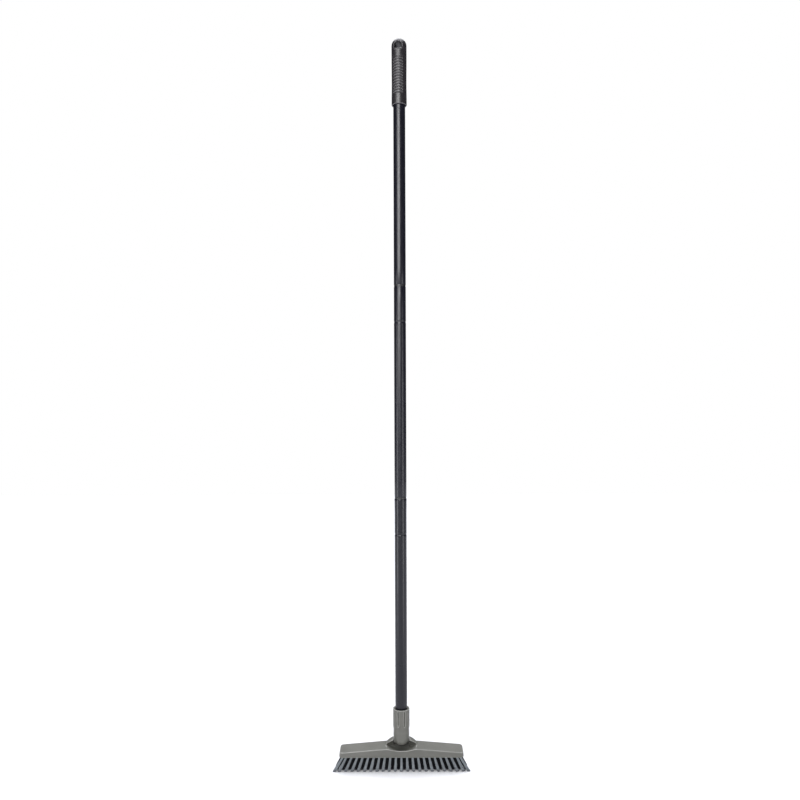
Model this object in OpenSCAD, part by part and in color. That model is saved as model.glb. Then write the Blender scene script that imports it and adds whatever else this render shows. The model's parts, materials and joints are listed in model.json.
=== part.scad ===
// Long-handled floor brush: a screwed three-section pole on a tilting socket.
// The origin lies on the floor under the pole's axis. +Z runs up the pole,
// +X along the brush block, and -Y is the front. Lengths are in millimetres.

/* [Pole] */
// Overall height of the brush, standing on its bristles
overall_h = 1344; // [1300:1:1400]
// Outer diameter of the steel tubes
tube_d = 22; // [21.6:0.1:22.4]
// Wall thickness of the steel tubes
tube_wall = 0.6; // [0.4:0.1:0.8]
// Height of the lower seam, between the lower and the middle tube
lower_seam_z = 495; // [470:1:520]
// Distance from the lower seam to the upper one
section_pitch = 392; // [370:1:410]
// Height of the dark washer that fills each seam
seam_h = 3.4; // [2:0.2:5]
// Distance from a seam down to the rolled crimp groove
crimp_drop = 67; // [60:1:75]
// Depth of the rolled crimp groove
crimp_depth = 0.4; // [0.2:0.1:0.6]
// How much the lower tube's mouth widens, in radius
mouth_flare = 0.3; // [0:0.05:0.4]

/* [Threads] */
// Major diameter of the threads between the tubes
joint_thread_d = 16; // [14:0.5:17]
// Major diameter of the thread in the handle socket
socket_thread_d = 19; // [18:0.5:20]
// Length of each male thread
thread_len = 35; // [32:1:38]
// Radial clearance of a running fit
run_gap = 0.05; // [0.03:0.01:0.09]

/* [Grip] */
// Outer diameter of the hand grip
grip_d = 27.8; // [27:0.2:30]
// Length of the hand grip
grip_len = 124; // [120:1:130]
// Distance between two ribs of the grip
rib_pitch = 5.1; // [5:0.1:5.4]
// Number of grooves in each ribbed panel
rib_count = 14; // [8:1:15]
// Half of the arc that a ribbed panel covers, in degrees
rib_half_arc = 38; // [25:1:45]
// Radius of the arched top of the hanging eye
eye_r = 7.6; // [6:0.2:8]
// Turn of the grip about the pole, in degrees
grip_turn = -10; // [-20:1:20]

/* [Handle socket] */
// Height of the socket's rim
socket_top = 106.6; // [104:0.2:110]
// Outer diameter of the fluted zone
socket_d = 30.4; // [29.6:0.1:31]
// Number of flutes around the socket
flute_count = 8; // [6:1:12]
// Radius of the round foot
foot_r = 14.4; // [14:0.1:14.6]
// Height of the centre of the round foot
foot_z = 53; // [52.8:0.1:54]

/* [Block] */
// Length of the brush block
block_l = 228.6; // [226:0.2:232]
// Depth of the brush block, front to back
block_w = 37; // [36:0.5:39]
// Height of the block's underside above the floor
block_z = 22.5; // [22:0.5:26]
// Height of the block's top at its two ends
end_top_z = 31.4; // [31:0.2:33]
// Height of the block's top near the hood
mid_top_z = 38.4; // [38:0.2:40]
// Outer radius of the arched hood
hood_r = 39.3; // [38.5:0.1:40]
// Height of the arched hood's centre
hood_z = 11.7; // [11:0.1:12.5]

/* [Bristles] */
// Distance between two tufts in a row
tuft_pitch = 10.1; // [9.9:0.1:10.3]
// Distance between two rows
row_pitch = 7.4; // [6.8:0.1:7.5]
// Radius of a tuft where it leaves the block
tuft_root_r = 2; // [1.8:0.1:2]
// Radius of the longest tuft at its tip
tuft_tip_r = 2.9; // [2.4:0.1:3]
// Outward lean of the last evenly spaced tuft, in degrees
row_end_lean = 29; // [20:1:30]
// Outward lean of the corner tufts, in degrees
corner_lean = 34; // [31:1:35]
// Share of that lean which each row loses against the row in front of it
lean_drop = 0.12; // [0:0.01:0.14]
// Front and back lean of the outer rows, in degrees
outer_row_lean = 18; // [6:1:19]

/* [Hidden] */
$fn = 64;
eps = 0.01;

// Colours
plastic_c = [0.46, 0.46, 0.42];
light_bristle_c = [0.56, 0.60, 0.62];
dark_bristle_c = [0.20, 0.21, 0.24];
tube_c = [0.15, 0.15, 0.18];
grip_c = [0.24, 0.23, 0.24];
nylon_c = [0.10, 0.10, 0.11];
steel_c = [0.70, 0.71, 0.72];

// Pole
tube_r = tube_d / 2;
tube_in_r = tube_r - tube_wall;
upper_seam_z = lower_seam_z + section_pitch;
tube_top_z = 1303;
crimp_h = 3;
crimp_slope = 1.2;
flare_len = 35;
washer_r = tube_r - 0.4;
washer_bore_r = joint_thread_d / 2 + run_gap;
plug_len = 30;
plug_lead_in = 1.5;
plug_core_r = 5;
plug_core_drop = 15;
nut_tail = 8;

// Grip
grip_r = grip_d / 2;
grip_low = overall_h - grip_len;
grip_waist = 0.3;
grip_waist_z = grip_low + 0.3 * grip_len;
grip_rim = 1.2;
grip_rim_swell = 0.1;
dome_z = overall_h - grip_r;
dome_taper = 20;
rib_groove_w = 2;
rib_groove_deep = 0.9;
rib_low_z = 1241;
eye_z = 1327;
eye_low_z = 1322;

// Socket
socket_r = socket_d / 2;
socket_rim = 0.7;
foot_blend = 2.5;
barrel_r = 14.8;
barrel_waist_r = 14.6;
barrel_waist_z = 73;
barrel_step = 0.8;
flute_low_z = 78;
flute_high_z = 103.6;
flute_r = 1.6;
flute_out = 0.2;
mouth_h = 1.4;
mouth_lip = 2.8;
tube_seat_z = 97;
socket_washer_h = 1;
tube_low_z = tube_seat_z + socket_washer_h;
thread_well_z = tube_low_z - thread_len - 2;
thread_well_r = socket_thread_d / 2 + run_gap;
mouth_gap = 0.35;

// Pivot
pivot_y = 5;
pivot_z = 45.5;
pin_r = 1.75;
pin_half = 16.4;
boss_r = 4.4;
boss_half = 13.6;
pivot_washer_r = 3.6;
slot_half = 14.9;
slot_back = 15;

// Block
block_front = -block_w / 2;
block_back = block_w / 2;
end_draft = 0.8;
plan_corner_r = 6;
under_bevel = 0.8;
shoulder_x = 28;
trough_z = 30.6;
trough_r = 52;
rim_w = 2.2;
rim_low_z = 34.6;
rim_dip_r = 88.8;
hood_front = -4;
hood_lip = 2.5;
hood_top_z = hood_z + hood_r;
hood_lean = 28;
bowl_y = -20;
bowl_r = norm([hood_r - hood_lip, hood_front - bowl_y]);
hood_back_bevel = 6.5;
hood_back_drop = 4.5;

// Bristles
hole_r = tuft_root_r + 0.1;
hole_deep = 5;
hole_lead = 2;
tuft_deep = 4;
tuft_trim = 4;
tuft_len = block_z / cos(corner_lean);
tuft_spread = (tuft_tip_r - tuft_root_r) / tuft_len;
long_row_half = 10;
long_row_end = long_row_half * tuft_pitch;
corner_x = long_row_end + 6.5;
staple = [3.2, 0.5, 0.8];
row_count = 5;
mid_row = (row_count + 1) / 2;
inner_lean = 0.92;

// ---- helpers ----

// Extrudes a front-view outline (X across, Y up) from y0 back to y1.
module along_y(y0, y1)
    translate([0, y1, 0]) rotate([90, 0, 0]) linear_extrude(y1 - y0) children();

// Extrudes a side-view outline (X front to back, Y up) from x0 to x1.
module along_x(x0, x1)
    translate([x0, 0, 0]) rotate([90, 0, 90]) linear_extrude(x1 - x0) children();

// A rectangle with round corners, centred on the origin.
module round_plan(l, w, r) {
    square([l - 2 * r, w], center = true);
    square([l, w - 2 * r], center = true);
    for (x = [-1, 1], y = [-1, 1])
        translate([x * (l / 2 - r), y * (w / 2 - r)]) circle(r);
}

// ---- pole ----

// One steel tube. crimp_z is the middle of a rolled groove, and flare widens the top mouth.
module steel_tube(z_low, z_high, crimp_z = 0, flare = 0) {
    half = crimp_h / 2;
    steps = [[0, -half - crimp_slope], [crimp_depth, -half], [crimp_depth, half], [0, half + crimp_slope]];
    outer = crimp_z == 0 ? [] : [for (s = steps) [tube_r - s[0], crimp_z + s[1]]];
    inner = crimp_z == 0 ? [] : [for (i = [3:-1:0]) [tube_in_r - steps[i][0], crimp_z + steps[i][1]]];
    fade_z = z_high - flare_len;
    mouth = flare == 0
        ? [[tube_r, z_high], [tube_in_r, z_high]]
        : [[tube_r, fade_z], [tube_r + flare, z_high], [tube_in_r + flare, z_high], [tube_in_r, fade_z]];
    color(tube_c) rotate_extrude()
        polygon(concat([[tube_in_r, z_low], [tube_r, z_low]], outer, mouth, inner));
}

// A moulded male connector, hollow at the top: a spigot held in the tube and a threaded shank.
module male_plug(z_seat, shank_r) {
    spigot_r = tube_in_r - run_gap;
    z_low = z_seat - thread_len;
    z_high = z_seat + plug_len;
    color(nylon_c) difference() {
        rotate_extrude() polygon([
            [0, z_low], [shank_r - plug_lead_in, z_low], [shank_r, z_low + plug_lead_in], [shank_r, z_seat],
            [spigot_r, z_seat], [spigot_r, z_high - plug_lead_in],
            [spigot_r - plug_lead_in, z_high], [0, z_high]
        ]);
        translate([0, 0, z_seat - plug_core_drop])
            cylinder(h = plug_core_drop + plug_len + eps, r = plug_core_r);
    }
}

// A moulded female insert in the top of a tube, necked where the tube is rolled into it.
module female_nut(z_top) {
    nut_r = tube_in_r - run_gap;
    crimp_z = z_top + seam_h / 2 - crimp_drop;
    z_low = crimp_z - nut_tail;
    neck = crimp_h / 2 + crimp_slope;
    color(nylon_c) rotate_extrude() polygon([
        [washer_bore_r, z_low], [nut_r, z_low], [nut_r, crimp_z - neck],
        [nut_r - crimp_depth, crimp_z - crimp_h / 2], [nut_r - crimp_depth, crimp_z + crimp_h / 2],
        [nut_r, crimp_z + neck], [nut_r, z_top], [washer_bore_r, z_top]
    ]);
}

// A flat ring of height h standing on z_low.
module ring(z_low, h, r_out, r_in)
    translate([0, 0, z_low]) difference() {
        cylinder(h = h, r = r_out);
        translate([0, 0, -eps]) cylinder(h = h + 2 * eps, r = r_in);
    }

module lower_tube()
    steel_tube(tube_low_z, lower_seam_z - seam_h / 2, lower_seam_z - crimp_drop, mouth_flare);

module middle_tube()
    steel_tube(lower_seam_z + seam_h / 2, upper_seam_z - seam_h / 2, upper_seam_z - crimp_drop);

module upper_tube() steel_tube(upper_seam_z + seam_h / 2, tube_top_z);

module pole_tip() male_plug(tube_low_z, socket_thread_d / 2);

module middle_plug() male_plug(lower_seam_z + seam_h / 2, joint_thread_d / 2);

module upper_plug() male_plug(upper_seam_z + seam_h / 2, joint_thread_d / 2);

module lower_nut() female_nut(lower_seam_z - seam_h / 2);

module middle_nut() female_nut(upper_seam_z - seam_h / 2);

module lower_washer()
    color(nylon_c) ring(lower_seam_z - seam_h / 2, seam_h, washer_r, washer_bore_r);

module upper_washer()
    color(nylon_c) ring(upper_seam_z - seam_h / 2, seam_h, washer_r, washer_bore_r);

module socket_washer()
    color(nylon_c) ring(tube_seat_z, socket_washer_h, tube_r - 2 * run_gap, thread_well_r);

// ---- grip ----

// The grooves of one ribbed panel, facing -Y.
module rib_grooves() {
    deep_r = grip_r - rib_groove_deep;
    clear_r = grip_r + 1;
    for (i = [0:rib_count - 1])
        translate([0, 0, rib_low_z + i * rib_pitch])
            rotate([0, 0, -90 - rib_half_arc])
                rotate_extrude(angle = 2 * rib_half_arc)
                    polygon([
                        [deep_r, -rib_groove_w / 4], [clear_r, -rib_groove_w],
                        [clear_r, rib_groove_w], [deep_r, rib_groove_w / 4]
                    ]);
}

// The hanging eye: an arched hole with a flat sill.
module eye_hole()
    along_y(-2 * grip_r, 2 * grip_r)
        union() {
            translate([0, eye_z]) circle(eye_r);
            translate([-eye_r, eye_low_z]) square([2 * eye_r, eye_z - eye_low_z]);
        }

module hand_grip()
    color(grip_c) rotate([0, 0, grip_turn]) difference() {
        union() {
            rotate_extrude() polygon([
                [0, grip_low], [grip_r - grip_rim / 2, grip_low],
                [grip_r + grip_rim_swell, grip_low + grip_rim], [grip_r - grip_waist, grip_waist_z],
                [grip_r, dome_z - dome_taper], [grip_r, dome_z], [0, dome_z]
            ]);
            translate([0, 0, dome_z]) sphere(grip_r);
        }
        translate([0, 0, grip_low - 1]) cylinder(h = tube_top_z - grip_low + 1, r = tube_r + run_gap);
        translate([0, 0, grip_low - eps]) cylinder(h = grip_rim, r1 = tube_r + grip_rim, r2 = tube_r);
        rib_grooves();
        rotate([0, 0, 180]) rib_grooves();
        eye_hole();
    }

// ---- handle socket ----

// The foot, the barrel and the pivot bosses in one solid.
module socket_body() {
    translate([0, 0, foot_z]) sphere(foot_r);
    rotate_extrude() polygon([
        [0, foot_z], [foot_r, foot_z], [barrel_r, foot_z + foot_blend], [barrel_waist_r, barrel_waist_z],
        [socket_r, barrel_waist_z + barrel_step], [socket_r, socket_top - 2 * socket_rim],
        [socket_r - socket_rim, socket_top], [0, socket_top]
    ]);
    along_x(-boss_half, boss_half) translate([pivot_y, pivot_z]) circle(boss_r);
}

module handle_socket()
    color(plastic_c) difference() {
        socket_body();
        // countersunk mouth, seat of the tube, and threaded well
        translate([0, 0, socket_top - mouth_h])
            cylinder(h = mouth_h + eps, r1 = tube_r + mouth_gap, r2 = socket_r - mouth_lip);
        translate([0, 0, tube_seat_z]) cylinder(h = socket_top - tube_seat_z, r = tube_r + mouth_gap);
        translate([0, 0, thread_well_z]) cylinder(h = tube_seat_z - thread_well_z + eps, r = thread_well_r);
        // flutes with round lower ends
        for (i = [0:flute_count - 1])
            rotate([0, 0, (i + 0.5) * 360 / flute_count]) translate([socket_r + flute_out, 0, flute_low_z]) {
                cylinder(h = flute_high_z - flute_low_z, r = flute_r, $fn = 24);
                sphere(flute_r, $fn = 24);
            }
        // flats on the foot for the washers, and the pin's hole
        for (x0 = [-foot_r - 1, boss_half])
            along_x(x0, x0 + foot_r + 1 - boss_half) translate([pivot_y, pivot_z]) circle(boss_r);
        along_x(-foot_r, foot_r) translate([pivot_y, pivot_z]) circle(pin_r + run_gap);
    }

module pivot_pin()
    color(steel_c) along_x(-pin_half, pin_half) translate([pivot_y, pivot_z]) circle(pin_r);

// Two thin washers, one on each side of the foot.
module pivot_washers()
    color(nylon_c) for (x0 = [-slot_half + run_gap, boss_half + run_gap])
        along_x(x0, x0 + slot_half - boss_half - 2 * run_gap)
            translate([pivot_y, pivot_z]) difference() {
                circle(pivot_washer_r);
                circle(pin_r + run_gap);
            }

// ---- block ----

// The block and its hood before anything is cut out.
module block_shell() {
    half = block_l / 2;
    intersection() {
        along_y(block_front, block_back) polygon([
            [-half + under_bevel, block_z], [-half, block_z + under_bevel], [-half + end_draft, end_top_z],
            [-shoulder_x, mid_top_z], [shoulder_x, mid_top_z], [half - end_draft, end_top_z],
            [half, block_z + under_bevel], [half - under_bevel, block_z]
        ]);
        along_x(-half, half) polygon([
            [block_front + under_bevel, block_z], [block_front, block_z + under_bevel],
            [block_front, mid_top_z], [block_back, mid_top_z],
            [block_back, block_z + under_bevel], [block_back - under_bevel, block_z]
        ]);
        linear_extrude(mid_top_z + eps) round_plan(block_l, block_w, plan_corner_r);
    }
    intersection() {
        union() {
            along_y(hood_front, block_back - hood_back_bevel) translate([0, hood_z]) circle(hood_r);
            translate([0, block_back - hood_back_bevel, hood_z]) rotate([-90, 0, 0])
                cylinder(h = hood_back_bevel, r1 = hood_r, r2 = hood_r - hood_back_drop);
        }
        // upright in front up to the block's top, and leaning back above it
        along_x(-hood_r, hood_r) polygon([
            [hood_front, trough_z], [block_back, trough_z], [block_back, hood_top_z],
            [hood_front + (hood_top_z - mid_top_z) * tan(hood_lean), hood_top_z], [hood_front, mid_top_z]
        ]);
    }
}

// The front-view outline of the trough: its floor is the lowest part of a wide circle.
module trough_outline() translate([0, trough_z + trough_r]) circle(trough_r, $fn = 120);

module brush_block()
    color(plastic_c) difference() {
        block_shell();
        // dip in the front rim
        along_y(block_front - 1, block_front + rim_w + eps)
            translate([0, rim_low_z + rim_dip_r]) circle(rim_dip_r, $fn = 180);
        // trough in front of the hood
        along_y(block_front + rim_w, hood_front + eps) trough_outline();
        // bowl under the hood's lip
        intersection() {
            translate([0, bowl_y, hood_z]) sphere(bowl_r);
            along_y(hood_front - 1, slot_back) trough_outline();
        }
        // slot that the foot turns in
        along_y(hood_front - 1, slot_back) intersection() {
            translate([-slot_half, trough_z]) square([2 * slot_half, hood_r]);
            trough_outline();
        }
        along_x(-hood_r, hood_r) translate([pivot_y, pivot_z]) circle(pin_r + run_gap);
        for (row = [1:row_count])
            at_tufts(row) translate([0, 0, -hole_lead])
                cylinder(h = hole_lead + hole_deep, r = hole_r, $fn = 24);
    }

// ---- bristles ----

// Odd rows have a tuft in the middle and a close one at each corner. Even rows are set
// half a pitch across.
function row_xs(row) = row % 2 == 1
    ? concat([-corner_x], [for (i = [-long_row_half:long_row_half]) i * tuft_pitch], [corner_x])
    : [for (i = [-long_row_half - 1:long_row_half]) (i + 0.5) * tuft_pitch];
function row_y(row) = (row - mid_row) * row_pitch;
function lean_x(x, row) =
    (1 - lean_drop * (row - 1))
    * (abs(x) > long_row_end + 1 ? sign(x) * corner_lean : x / long_row_end * row_end_lean);
function lean_y(row) =
    sign(row - mid_row) * outer_row_lean * (abs(row - mid_row) == mid_row - 1 ? 1 : inner_lean);

// Places its children at every tuft of a row, on the block's underside, with +Z into the hole.
module at_tufts(row)
    for (x = row_xs(row))
        translate([x, row_y(row), block_z]) rotate([lean_y(row), -lean_x(x, row), 0]) children();

// Every tuft of a row, spread towards its tip and trimmed flat at the floor.
module tuft_row(row) {
    reach = tuft_len + tuft_trim;
    reach_r = tuft_root_r + tuft_spread * reach;
    deep_r = tuft_root_r - tuft_spread * tuft_deep;
    edge_row = row == 1 || row == row_count;
    color(edge_row ? light_bristle_c : dark_bristle_c) intersection() {
        at_tufts(row) translate([0, 0, -reach])
            cylinder(h = reach + tuft_deep, r1 = reach_r, r2 = deep_r, $fn = 24);
        translate([-block_l, -block_w, 0]) cube([2 * block_l, 2 * block_w, 2 * block_z]);
    }
}

module tuft_row_1() tuft_row(1);
module tuft_row_2() tuft_row(2);
module tuft_row_3() tuft_row(3);
module tuft_row_4() tuft_row(4);
module tuft_row_5() tuft_row(5);

// The wire anchors at the bottom of the holes, one for each tuft.
module tuft_staples()
    color(steel_c) for (row = [1:row_count]) at_tufts(row)
        translate([-staple[0] / 2, -staple[1] / 2, tuft_deep + run_gap]) cube(staple);

brush_block();
tuft_row_1();
tuft_row_2();
tuft_row_3();
tuft_row_4();
tuft_row_5();
tuft_staples();
pivot_pin();
pivot_washers();
handle_socket();
socket_washer();
pole_tip();
lower_tube();
lower_nut();
lower_washer();
middle_plug();
middle_tube();
middle_nut();
upper_washer();
upper_plug();
upper_tube();
hand_grip();
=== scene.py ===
"""The looks of a long-handled floor brush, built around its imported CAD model.

Shapes are worked out in millimetres in the CAD's frame (+Z up the pole, -Y the front) and
stored in metres. The moulded parts are distance fields turned into meshes, the tubes and
rings are lathed, and the tufts are bundles of single filaments.
"""
import json
import math

import bpy
import numpy as np
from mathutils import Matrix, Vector

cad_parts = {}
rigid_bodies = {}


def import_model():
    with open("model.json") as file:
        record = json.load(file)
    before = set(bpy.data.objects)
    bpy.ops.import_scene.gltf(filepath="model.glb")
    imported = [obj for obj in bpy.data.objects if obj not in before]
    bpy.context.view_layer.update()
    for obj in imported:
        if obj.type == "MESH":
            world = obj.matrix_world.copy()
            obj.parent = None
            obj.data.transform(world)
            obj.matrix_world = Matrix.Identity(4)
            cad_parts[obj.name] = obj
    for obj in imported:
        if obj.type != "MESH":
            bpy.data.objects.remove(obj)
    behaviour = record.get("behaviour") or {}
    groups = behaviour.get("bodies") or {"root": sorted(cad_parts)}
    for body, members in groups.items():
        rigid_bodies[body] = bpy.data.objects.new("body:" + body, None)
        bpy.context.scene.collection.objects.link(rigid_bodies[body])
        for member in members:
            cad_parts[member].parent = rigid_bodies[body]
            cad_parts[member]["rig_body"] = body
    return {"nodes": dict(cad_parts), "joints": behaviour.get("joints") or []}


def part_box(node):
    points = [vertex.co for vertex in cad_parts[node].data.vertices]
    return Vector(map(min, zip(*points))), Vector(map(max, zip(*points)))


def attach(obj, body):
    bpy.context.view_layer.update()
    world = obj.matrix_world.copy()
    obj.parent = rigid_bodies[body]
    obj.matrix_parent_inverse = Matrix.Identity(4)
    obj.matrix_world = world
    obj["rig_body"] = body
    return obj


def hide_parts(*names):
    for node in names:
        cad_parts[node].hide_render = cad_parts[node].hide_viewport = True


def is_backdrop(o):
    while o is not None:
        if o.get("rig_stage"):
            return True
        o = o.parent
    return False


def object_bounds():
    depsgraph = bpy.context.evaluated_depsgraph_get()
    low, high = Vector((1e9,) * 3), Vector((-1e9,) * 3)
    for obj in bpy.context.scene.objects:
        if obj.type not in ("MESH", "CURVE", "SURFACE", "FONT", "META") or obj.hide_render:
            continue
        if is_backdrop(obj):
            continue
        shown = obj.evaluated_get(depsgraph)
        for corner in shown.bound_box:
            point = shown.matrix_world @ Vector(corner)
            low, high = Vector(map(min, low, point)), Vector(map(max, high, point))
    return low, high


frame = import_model()
cad_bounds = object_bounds()
MM = 0.001


def box_mm(node):
    """The lowest and highest corners of a CAD node, in millimetres."""
    low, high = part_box(node)
    return np.array(low) / MM, np.array(high) / MM


def joint_mm(name):
    """A joint's point, in millimetres."""
    joint = next(j for j in frame["joints"] if j["name"] == name)
    return np.array(joint["pos_m"]) / MM


# ---- camera -------------------------------------------------------------------------------

CAMERA_PLACE = (-0.0004, -1.406, 0.676)
CAMERA_LENS = 34.2
CAMERA_SENSOR = 36
CAMERA_ROLL = math.radians(0.20)


def make_camera():
    data = bpy.data.cameras.new("camera")
    data.lens = CAMERA_LENS
    data.sensor_width = CAMERA_SENSOR
    data.clip_start = 0.05
    data.clip_end = 50
    camera = bpy.data.objects.new("camera", data)
    bpy.context.scene.collection.objects.link(camera)
    camera.location = CAMERA_PLACE
    camera.rotation_euler = (math.radians(90), CAMERA_ROLL, 0)
    bpy.context.scene.camera = camera


# ---- materials ----------------------------------------------------------------------------

NOISE_MIDDLE = (0.3, 0.7)
EXPOSURE = "exposure"


class Nodes:
    """A small builder for one material's node tree. Its texture space is the row frame."""

    def __init__(self, name):
        self.material = bpy.data.materials.new(name)
        self.material.use_nodes = True
        self.tree = self.material.node_tree
        self.shader = self.tree.nodes["Principled BSDF"]
        self.place = self.tree.nodes.new("ShaderNodeTexCoord").outputs["Object"]

    def node(self, kind, **settings):
        made = self.tree.nodes.new(kind)
        for key, value in settings.items():
            setattr(made, key, value)
        return made

    def link(self, source, target):
        self.tree.links.new(source, target)

    def stretched(self, scale):
        """The texture space scaled on each axis."""
        mapping = self.node("ShaderNodeMapping")
        mapping.inputs["Scale"].default_value = scale
        self.link(self.place, mapping.inputs["Vector"])
        return mapping.outputs["Vector"]

    def noise(self, scale, detail=2.0, rough=0.5, space=None):
        made = self.node("ShaderNodeTexNoise")
        made.inputs["Scale"].default_value = scale
        made.inputs["Detail"].default_value = detail
        made.inputs["Roughness"].default_value = rough
        self.link(space or self.place, made.inputs["Vector"])
        return made.outputs["Fac"]

    def ramp(self, value, low, high):
        """Blends one colour into another over the middle of a noise's range."""
        made = self.node("ShaderNodeValToRGB")
        for element, at, colour in zip(made.color_ramp.elements, NOISE_MIDDLE, (low, high)):
            element.position = at
            element.color = (*colour, 1)
        self.link(value, made.inputs["Fac"])
        return made.outputs["Color"]

    def greys(self, value, low, high):
        return self.ramp(value, (low,) * 3, (high,) * 3)

    def scaled(self, value, factor):
        made = self.node("ShaderNodeMath", operation="MULTIPLY")
        made.inputs[1].default_value = factor
        self.link(value, made.inputs[0])
        return made.outputs["Value"]

    def mix(self, factor, a, b):
        """Blends two colours, each a socket or a tuple."""
        made = self.node("ShaderNodeMix", data_type="RGBA")
        self.link(factor, made.inputs["Factor"])
        for socket, value in ((made.inputs[6], a), (made.inputs[7], b)):
            if isinstance(value, tuple):
                socket.default_value = (*value, 1)
            else:
                self.link(value, socket)
        return made.outputs[2]

    def height(self):
        split = self.node("ShaderNodeSeparateXYZ")
        self.link(self.place, split.inputs["Vector"])
        return split.outputs["Z"]

    def between(self, value, low, high):
        """0 below low, 1 above high."""
        made = self.node("ShaderNodeMapRange", interpolation_type="SMOOTHSTEP")
        made.inputs["From Min"].default_value = low
        made.inputs["From Max"].default_value = high
        self.link(value, made.inputs["Value"])
        return made.outputs["Result"]

    def bump(self, value, strength, distance, normal=None):
        made = self.node("ShaderNodeBump")
        made.inputs["Strength"].default_value = strength
        made.inputs["Distance"].default_value = distance
        self.link(value, made.inputs["Height"])
        if normal is not None:
            self.link(normal, made.inputs["Normal"])
        return made.outputs["Normal"]

    def set(self, **values):
        """Sets the shader's sockets: a number or a tuple sets the value, a socket is linked."""
        for key, value in values.items():
            socket = self.shader.inputs[key.replace("_", " ")]
            if isinstance(value, bpy.types.NodeSocket):
                self.link(value, socket)
            elif isinstance(value, tuple):
                socket.default_value = (*value, 1)
            else:
                socket.default_value = value
        return self.material


def painted_edge_highlight(n, low, high):
    """A painted highlight along edges, from 0 to 1, by the mesh's own measure of how exposed each
    point is.
    """
    exposed = n.node("ShaderNodeAttribute", attribute_name=EXPOSURE)
    return n.between(exposed.outputs["Fac"], low, high)


def olive_plastic():
    """Satin moulded plastic: cloudy, finely specked, and painted lighter along its edges as a
    highlight.
    """
    n = Nodes("olive_plastic")
    cloud = n.noise(38, detail=3, rough=0.55)
    base = n.ramp(cloud, (0.150, 0.149, 0.130), (0.178, 0.177, 0.155))
    flow = n.noise(9, detail=2, rough=0.5, space=n.stretched((1, 1, 6)))
    base = n.mix(n.between(flow, 0.52, 0.75), base, (0.190, 0.189, 0.166))
    # Painted highlight: where the mesh stands out, the colour is mixed towards a light olive.
    edge_highlight = n.scaled(painted_edge_highlight(n, 0.2, 0.9), 0.9)
    base = n.mix(edge_highlight, base, (0.40, 0.40, 0.37))
    speck = n.between(n.noise(2600, detail=1, rough=0.4), 0.70, 0.76)
    base = n.mix(n.scaled(speck, 0.35), base, (0.08, 0.08, 0.065))
    rough = n.greys(n.noise(140, detail=3, rough=0.6), 0.32, 0.42)
    grain = n.bump(n.noise(1900, detail=2, rough=0.5), strength=0.22, distance=0.0002)
    normal = n.bump(n.noise(120, detail=2, rough=0.5), strength=0.10, distance=0.0006, normal=grain)
    return n.set(Base_Color=base, Roughness=rough, Normal=normal)


def grip_plastic():
    """Dark moulded plastic with a fine grain and a painted highlight along its edges."""
    n = Nodes("grip_plastic")
    cloud = n.noise(60, detail=3, rough=0.6)
    base = n.ramp(cloud, (0.024, 0.021, 0.024), (0.034, 0.030, 0.034))
    # Painted highlight: where the mesh stands out, the colour is mixed towards a lighter grey.
    edge_highlight = n.scaled(painted_edge_highlight(n, 0.25, 0.9), 0.7)
    base = n.mix(edge_highlight, base, (0.15, 0.143, 0.15))
    rough = n.greys(n.noise(180, detail=3, rough=0.6), 0.32, 0.42)
    grain = n.bump(n.noise(2200, detail=2, rough=0.5), strength=0.30, distance=0.0002)
    return n.set(Base_Color=base, Roughness=rough, Normal=grain)


def coated_tube():
    """A satin black coating with lengthwise scuffs, specks of dust and a slight orange peel."""
    n = Nodes("coated_tube")
    cloud = n.noise(14, detail=3, rough=0.55, space=n.stretched((1, 1, 0.25)))
    base = n.ramp(cloud, (0.008, 0.008, 0.014), (0.012, 0.012, 0.021))
    scuffs = n.between(n.noise(900, detail=3, rough=0.6, space=n.stretched((1, 1, 0.05))), 0.66, 0.74)
    base = n.mix(n.scaled(scuffs, 0.18), base, (0.10, 0.10, 0.12))
    dust = n.between(n.noise(3200, detail=1, rough=0.4), 0.73, 0.78)
    base = n.mix(n.scaled(dust, 0.5), base, (0.16, 0.16, 0.18))
    rough = n.greys(n.noise(70, detail=4, rough=0.6), 0.26, 0.36)
    peel = n.bump(n.noise(420, detail=2, rough=0.5), strength=0.08, distance=0.0004)
    return n.set(Base_Color=base, Roughness=rough, Normal=peel, Specular_IOR_Level=0.35)


def bristle(name, dark, light, gloss=0.5):
    """Strands that vary between two colours, with a painted shadow that darkens them towards their
    tips at the floor.
    """
    n = Nodes(name)
    strand = n.noise(900, detail=2, rough=0.6, space=n.stretched((1, 1, 0.06)))
    base = n.ramp(strand, dark, light)
    # Painted shadow: the lowest 3.5 mm, where the tips meet the floor, is mixed most of the way to a
    # dark blue-grey.
    floor_shadow = n.between(n.height(), 3.5 * MM, 0.3 * MM)
    base = n.mix(n.scaled(floor_shadow, 0.75), base, (0.05, 0.05, 0.07))
    rough = n.greys(n.noise(500, detail=2, rough=0.5), 0.34, 0.48)
    grain = n.bump(n.noise(4200, detail=1, rough=0.5), strength=0.2, distance=0.0001)
    return n.set(Base_Color=base, Roughness=rough, Normal=grain, Specular_IOR_Level=gloss)


def black_nylon():
    """Plain black moulded plastic for the hidden fittings."""
    n = Nodes("black_nylon")
    base = n.ramp(n.noise(90, detail=3, rough=0.6), (0.010, 0.010, 0.012), (0.019, 0.019, 0.022))
    rough = n.greys(n.noise(260, detail=2, rough=0.5), 0.34, 0.5)
    grain = n.bump(n.noise(1800, detail=2, rough=0.5), strength=0.2, distance=0.0002)
    return n.set(Base_Color=base, Roughness=rough, Normal=grain)


def drawn_steel():
    """Steel wire with fine lines along its length."""
    n = Nodes("drawn_steel")
    drawn = n.noise(1400, detail=3, rough=0.6, space=n.stretched((0.04, 1, 1)))
    base = n.ramp(drawn, (0.50, 0.51, 0.52), (0.66, 0.67, 0.68))
    rough = n.greys(drawn, 0.24, 0.38)
    lines = n.bump(drawn, strength=0.15, distance=0.0001)
    return n.set(Base_Color=base, Roughness=rough, Metallic=1.0, Normal=lines)


# ---- mesh helpers -------------------------------------------------------------------------


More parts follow.
